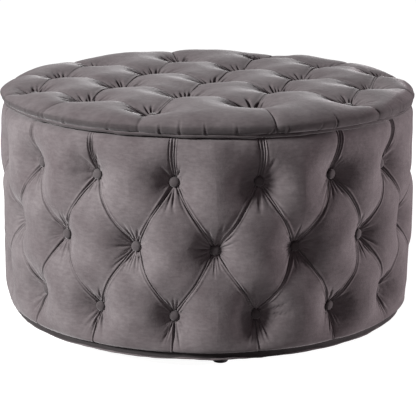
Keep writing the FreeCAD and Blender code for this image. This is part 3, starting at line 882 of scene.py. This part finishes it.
def piping(name, angles, radius, height, thickness, seed, closed, material, body, nodes, drop=None):
    """Fabric piping along an arc, with a slight wander and a soft waviness."""
    ring_radius = radius + 0.7 * MM * ring_ripple(seed, 26, angles)
    ring_height = height + 0.55 * MM * ring_ripple(seed + 2, 34, angles)
    if drop is not None:
        ring_height = ring_height + drop(ring_radius, ring_radius * np.sin(angles), ring_height)
    around = np.linspace(0, 2 * math.pi, PIPING_SIDES, endpoint=False)
    girth = thickness * (1 + 0.10 * ring_ripple(seed + 1, 90, angles))
    if not closed:
        ends = np.minimum(np.arange(len(angles)), np.arange(len(angles))[::-1])
        girth = girth * np.sqrt(np.clip((ends + 0.02) / 4.0, 0, 1))
    r = ring_radius[:, None] + girth[:, None] * np.cos(around)
    z = ring_height[:, None] + girth[:, None] * np.sin(around)
    places = polar(r, angles[:, None], z)
    centre = polar(ring_radius, angles, ring_height)[:, None]
    index = numbered(places)
    ahead = np.roll(index, -1, 0) if closed else index[1:]
    here = index if closed else index[:-1]
    faces = quads(here, np.roll(here, -1, 1), np.roll(ahead, -1, 1), ahead)
    obj = make_mesh(name, places, faces, places - centre)
    dress(obj, material, "velvet", body, *nodes)


def lid_piping(material):
    """The piping runs in two arcs, because the hinges pass through its line."""
    radius = (WELT_HIGH.x - WELT_LOW.x) / 2 - (WELT_HIGH.z - WELT_LOW.z) / 2
    height = (WELT_HIGH.z + WELT_LOW.z) / 2
    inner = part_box("hinge_leaf_fixed_right")[0].x - 3 * MM
    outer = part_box("hinge_leaf_fixed_right")[1].x + 3 * MM
    back, gap = math.asin(inner / radius), math.asin(outer / radius)
    front = np.linspace(-math.pi + gap, math.pi - gap, PIPING_STEPS)
    rear = np.linspace(math.pi - back, math.pi + back, REAR_PIPING_STEPS)
    for name, angles, nodes in (("lid_piping", front, ("lid_welt",)), ("lid_piping_rear", rear, ())):
        piping(name, angles, radius, height, LID_PIPING_GIRTH, PIPING_SEED, False, material, "lid", nodes,
               welt_drop)


def base_edge(material, lip_material):
    """Velvet wrapped round the edge of the base board, with a rounded lower edge that stands out. The band is
    painted darker as shade under the body's overhang; the lip keeps the plain velvet.
    """
    angles = np.linspace(0, 2 * math.pi, BASE_STEPS, endpoint=False)
    across, up = (np.array(c) * MM for c in zip(*BASE_SECTION))
    r = BASE_HIGH.x + across[None] + 0.25 * MM * ring_ripple(71, 40, angles)[:, None]
    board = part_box("base_board")[1].x + 0.4 * MM
    r = np.where(across[None] > -2 * MM, np.maximum(r, board), r)
    places = polar(r, angles[:, None], BASE_LOW.z + up)
    index = numbered(places)
    ahead = np.roll(index, -1, 0)
    faces = quads(index[:, :-1], index[:, 1:], ahead[:, 1:], ahead[:, :-1])
    band = make_mesh("base_velvet_band", places, faces, polar(1.0, angles[:, None], 0.0))
    dress(band, material, "velvet", "root", "base_band")
    radius, height = BASE_HIGH.x - 0.7 * MM, BASE_LOW.z + 1.7 * MM
    piping("base_velvet_lip", angles, radius, height, BASE_LIP_GIRTH, 81, True, lip_material, "root", ())


# ---- materials
VELVET_TONES = ((0.32, (0.059, 0.049, 0.051)), (0.50, (0.073, 0.063, 0.065)), (0.70, (0.094, 0.083, 0.085)))
VELVET_STREAKS = ((0.36, (0.68, 0.66, 0.67)), (0.64, (1.0, 1.0, 1.0)))
VELVET_SHEEN = 0.28
LID_SHEEN = 0.17
LID_SIDE_PAINTED_SHADE = 0.46  # painted shade: the lid's sides are painted darker than its top, by the way their surface faces
BUTTON_PAINTED_SHADE = 0.55  # velvet over a button, painted darker: painted shade of the hollow it sits in
BASE_PAINTED_SHADE = 0.22  # velvet wrapped under the base, painted darker: painted shade under the body's overhang


def feed(links, node, inputs):
    """Sets a node's inputs, each to a constant or to another node's output."""
    for name, value in inputs.items():
        if isinstance(value, bpy.types.NodeSocket):
            links.new(value, node.inputs[name])
        else:
            node.inputs[name].default_value = value


class Shading:
    """A material: its Principled shader, and the procedural textures that feed it."""

    def __init__(self, name):
        self.material = bpy.data.materials.new(name)
        self.material.use_nodes = True
        self.nodes, self.links = self.material.node_tree.nodes, self.material.node_tree.links
        self.nodes.clear()
        self.output = self.nodes.new("ShaderNodeOutputMaterial")
        self.shader = self.nodes.new("ShaderNodeBsdfPrincipled")
        self.links.new(self.shader.outputs["BSDF"], self.output.inputs["Surface"])

    def add(self, kind, inputs, **settings):
        node = self.nodes.new("ShaderNode" + kind)
        for setting, value in settings.items():
            setattr(node, setting, value)
        feed(self.links, node, inputs)
        return node.outputs

    def space(self, stretch=(1, 1, 1)):
        place = self.add("TexCoord", {})["Object"]
        return self.add("Mapping", {"Vector": place, "Scale": stretch})["Vector"]

    def noise(self, vector, scale, detail=3.0, roughness=0.5):
        inputs = {"Vector": vector, "Scale": scale, "Detail": detail, "Roughness": roughness}
        return self.add("TexNoise", inputs)["Fac"]

    def ramp(self, value, *stops):
        """Colours, or greys, at positions of a value."""
        node = self.nodes.new("ShaderNodeValToRGB")
        elements = node.color_ramp.elements
        stops = [(position, (*tone, 1) if isinstance(tone, tuple) else (tone, tone, tone, 1))
                 for position, tone in stops]
        elements[0].position, elements[0].color = stops[0]
        elements[1].position, elements[1].color = stops[-1]
        for position, colour in stops[1:-1]:
            elements.new(position).color = colour
        self.links.new(value, node.inputs["Fac"])
        return node.outputs["Color"]

    def combine(self, kind, a, b, factor):
        inputs = {"Factor": factor, "A": a, "B": b}
        return self.add("Mix", inputs, data_type="RGBA", blend_type=kind)["Result"]

    def bump(self, height, strength, distance, below=None):
        inputs = {"Strength": strength, "Distance": distance, "Height": height}
        if below is not None:
            inputs["Normal"] = below
        return self.add("Bump", inputs)["Normal"]

    def painted_side_shade(self, shade):
        """Painted shade: dark where the piece's own surface faces sideways, unchanged where it faces up."""
        normal = self.add("TexCoord", {})["Normal"]
        facing = self.add("SeparateXYZ", {"Vector": normal})["Z"]
        return self.ramp(facing, (0.30, shade), (0.97, 1.0))

    def surface(self, inputs):
        """Feeds the Principled shader, and returns the material."""
        feed(self.links, self.shader, inputs)
        return self.material


def velvet_material(name, shade=1.0, side_painted_shade=1.0, sheen=VELVET_SHEEN):
    look = Shading(name)
    space = look.space()
    # a shade below 1 paints the whole velvet darker: painted shade for the buttons and the base band
    tones = [(position, tuple(shade * c for c in tone)) for position, tone in VELVET_TONES]
    colour = look.ramp(look.noise(space, 13, 6, 0.66), *tones)
    streaks = look.ramp(look.noise(look.space((1, 1, 3.0)), 75, 4, 0.7), *VELVET_STREAKS)
    colour = look.combine("MULTIPLY", colour, streaks, 0.65)
    # a side shade below 1 paints shade onto the surfaces that face sideways
    if side_painted_shade < 1.0:
        colour = look.combine("MULTIPLY", colour, look.painted_side_shade(side_painted_shade), 1.0)
    nap = look.bump(look.noise(space, 85, 5, 0.65), 0.55, 1.6 * MM)
    pile = look.bump(look.noise(space, 1400, 2), 0.30, 0.4 * MM, nap)
    return look.surface({"Base Color": colour, "Normal": pile, "Roughness": 0.85,
                         "Specular IOR Level": 0.12, "Sheen Weight": sheen, "Sheen Roughness": 0.42,
                         "Sheen Tint": (0.90, 0.88, 0.89, 1)})


def woven_material(name, dark, light, scale, strength):
    look = Shading(name)
    wave = {"Scale": scale, "Distortion": 0.6}
    warp, weft = (look.add("TexWave", {"Vector": look.space(stretch), **wave})["Color"]
                  for stretch in ((1, 0, 1), (0, 1, 1)))
    weave = look.combine("OVERLAY", warp, weft, 1.0)
    mottle = look.ramp(look.noise(look.space(), 40, 4, 0.6), (0.3, 0.75), (0.7, 1.0))
    colour = look.ramp(look.combine("MULTIPLY", weave, mottle, 0.6), (0.1, dark), (0.9, light))
    return look.surface({"Base Color": colour, "Normal": look.bump(weave, strength, 0.4 * MM),
                         "Roughness": 0.9, "Sheen Weight": 0.2})


def wood_material(name, dark, light):
    look = Shading(name)
    grain = look.noise(look.space((2, 26, 26)), 9, 6, 0.65)
    return look.surface({"Base Color": look.ramp(grain, (0.3, dark), (0.7, light)),
                         "Normal": look.bump(grain, 0.3, 0.6 * MM), "Roughness": 0.7})


def metal_material(name, colour, scratch):
    look = Shading(name)
    brushed = look.noise(look.space((4, 160, 160)), 12, 3, 0.6)
    dim = tuple(c * 0.8 for c in colour)
    return look.surface({"Base Color": look.ramp(brushed, (0.3, dim), (0.7, colour)),
                         "Roughness": look.ramp(brushed, (0.2, scratch - 0.08), (0.8, scratch + 0.10)),
                         "Normal": look.bump(brushed, 0.12, 0.2 * MM), "Metallic": 1.0})


def plastic_material(name, colour):
    look = Shading(name)
    space = look.space()
    scuffs = look.noise(space, 60, 5, 0.7)
    pale = tuple(c * 2.2 + 0.004 for c in colour)
    return look.surface({"Base Color": look.ramp(scuffs, (0.35, colour), (0.75, pale)),
                         "Roughness": look.ramp(scuffs, (0.3, 0.38), (0.7, 0.55)),
                         "Normal": look.bump(look.noise(space, 1800, 2), 0.15, 0.2 * MM)})


def dress_cad_nodes():
    """Every CAD node that stays visible gets the material of its slot."""
    made = {
        "plywood": wood_material("plywood", (0.42, 0.28, 0.15), (0.62, 0.45, 0.27)),
        "hardboard": wood_material("hardboard", (0.20, 0.12, 0.07), (0.30, 0.19, 0.11)),
        "lining_cloth": woven_material("lining_cloth", (0.012, 0.012, 0.013), (0.055, 0.053, 0.056),
                                       900, 0.5),
        "dust_cloth": woven_material("dust_cloth", (0.006, 0.006, 0.006), (0.022, 0.022, 0.022), 700, 0.4),
        "foot_black": plastic_material("foot_black", (0.010, 0.010, 0.011)),
        "hinge_steel": metal_material("hinge_steel", (0.60, 0.60, 0.61), 0.32),
        "zinc": metal_material("zinc", (0.66, 0.66, 0.63), 0.40),
    }
    for row in frame["record"]["subparts"]:
        node = frame["nodes"][row["node"]]
        if row["material_slot"] in made:
            node.data.materials.clear()
            node.data.materials.append(made[row["material_slot"]])


# ---- stage
CAMERA_PLACE = (0.0006, -2.9413, 0.9547)
CAMERA_DOWN = 0.2510  # radians below level
CAMERA_LENS = 133.3
CAMERA_SENSOR = 36.0
CAMERA_CLIP = (0.05, 60.0)
FLOOR_RINGS = (0.001, 0.6, 1.2, 1.8, 2.4)
FLOOR_COLOUR = 0.36
FLOOR_GLOW = 0.96  # seen by the camera only: keeps the plain floor white
WORLD_WHITE = 1.05  # seen by the camera only
FILL_STRENGTH = 0.055
FILL_COLOUR = (1.0, 0.76, 0.84, 1)
# name, place, what it points at, width, power and colour
LIGHTS = (
    ("key", (-3.1, -1.8, 1.8), (0.0, 0.0, 0.25), 0.7, 490.0, (1.0, 1.0, 1.0)),
    ("rim", (2.8, 0.2, 0.13), (0.0, 0.0, 0.2), 0.4, 135.0, (1.0, 0.90, 0.93)),
    ("front", (1.1, -3.2, 1.1), (0.0, 0.0, 0.2), 1.6, 13.0, (1.0, 0.78, 0.86)),
    ("top", (-0.6, 0.6, 3.1), (0.0, 0.0, 0.3), 1.8, 13.0, (1.0, 0.84, 0.89)),
)


def studio_world():
    """White where the camera sees it, dimmer as a light."""
    world = bpy.data.worlds.new("studio")
    world.use_nodes = True
    nodes, links = world.node_tree.nodes, world.node_tree.links
    fill = nodes["Background"]
    feed(links, fill, {"Strength": FILL_STRENGTH, "Color": FILL_COLOUR})
    white = nodes.new("ShaderNodeBackground")
    feed(links, white, {"Strength": WORLD_WHITE, "Color": (1, 1, 1, 1)})
    mix = nodes.new("ShaderNodeMixShader")
    camera_ray = nodes.new("ShaderNodeLightPath").outputs["Is Camera Ray"]
    feed(links, mix, {"Fac": camera_ray, 1: fill.outputs["Background"], 2: white.outputs["Background"]})
    links.new(mix.outputs["Shader"], nodes["World Output"].inputs["Surface"])
    bpy.context.scene.world = world


def floor_material():
    look = Shading("floor_white")
    shade = look.noise(look.space(), 3, 2)
    colour = look.ramp(shade, (0.3, FLOOR_COLOUR - 0.01), (0.7, FLOOR_COLOUR))
    camera_ray = look.add("LightPath", {})["Is Camera Ray"]
    strength = look.add("Math", {0: camera_ray, 1: FLOOR_GLOW}, operation="MULTIPLY")["Value"]
    glow = look.add("Emission", {"Strength": strength})["Emission"]
    both = look.add("AddShader", {0: look.shader.outputs["BSDF"], 1: glow})["Shader"]
    look.links.new(both, look.output.inputs["Surface"])
    return look.surface({"Base Color": colour, "Roughness": 0.9})


def stage():
    """A plain round floor, the lamps and the world."""
    around = np.linspace(0, 2 * math.pi, 96, endpoint=False)
    places = polar(np.array(FLOOR_RINGS)[:, None], around, 0.0)
    index = numbered(places)
    turned = np.roll(index, -1, 1)
    floor = make_mesh("floor", places, quads(index[:-1], turned[:-1], turned[1:], index[1:]), (0.0, 0.0, 1.0))
    floor.data.materials.append(floor_material())
    for name, place, target, width, power, colour in LIGHTS:
        lamp = bpy.data.lights.new(name, "AREA")
        lamp.shape, lamp.size, lamp.energy, lamp.color = "DISK", width, power, colour
        obj = link_object(name, lamp)
        obj.location = place
        obj.rotation_euler = (Vector(target) - Vector(place)).to_track_quat("-Z", "Y").to_euler()
    studio_world()
    bpy.context.scene.view_settings.view_transform = "Standard"


def camera():
    """The photo's angle: from the front, a little above."""
    data = bpy.data.cameras.new("camera")
    data.lens, data.sensor_width = CAMERA_LENS, CAMERA_SENSOR
    data.clip_start, data.clip_end = CAMERA_CLIP
    obj = link_object("camera", data)
    obj.location = CAMERA_PLACE
    obj.rotation_euler = (math.pi / 2 - CAMERA_DOWN, 0, 0)
    bpy.context.scene.camera = obj


def main():
    velvet = velvet_material("velvet")
    body_cover(velvet)
    # the lid's velvet gets painted shade on its sides
    lid_velvet = velvet_material("velvet_lid_painted_side_shade", 1.0, LID_SIDE_PAINTED_SHADE, LID_SHEEN)
    lid_cover(lid_velvet)
    # the buttons' velvet is painted darker: painted shade
    all_buttons(velvet_material("velvet_button_painted_shade", BUTTON_PAINTED_SHADE))
    lid_piping(lid_velvet)
    # the base band's velvet is painted darker: painted shade
    base_edge(velvet_material("velvet_base_painted_shade", BASE_PAINTED_SHADE), velvet)
    dress_cad_nodes()
    stage()
    camera()


main()
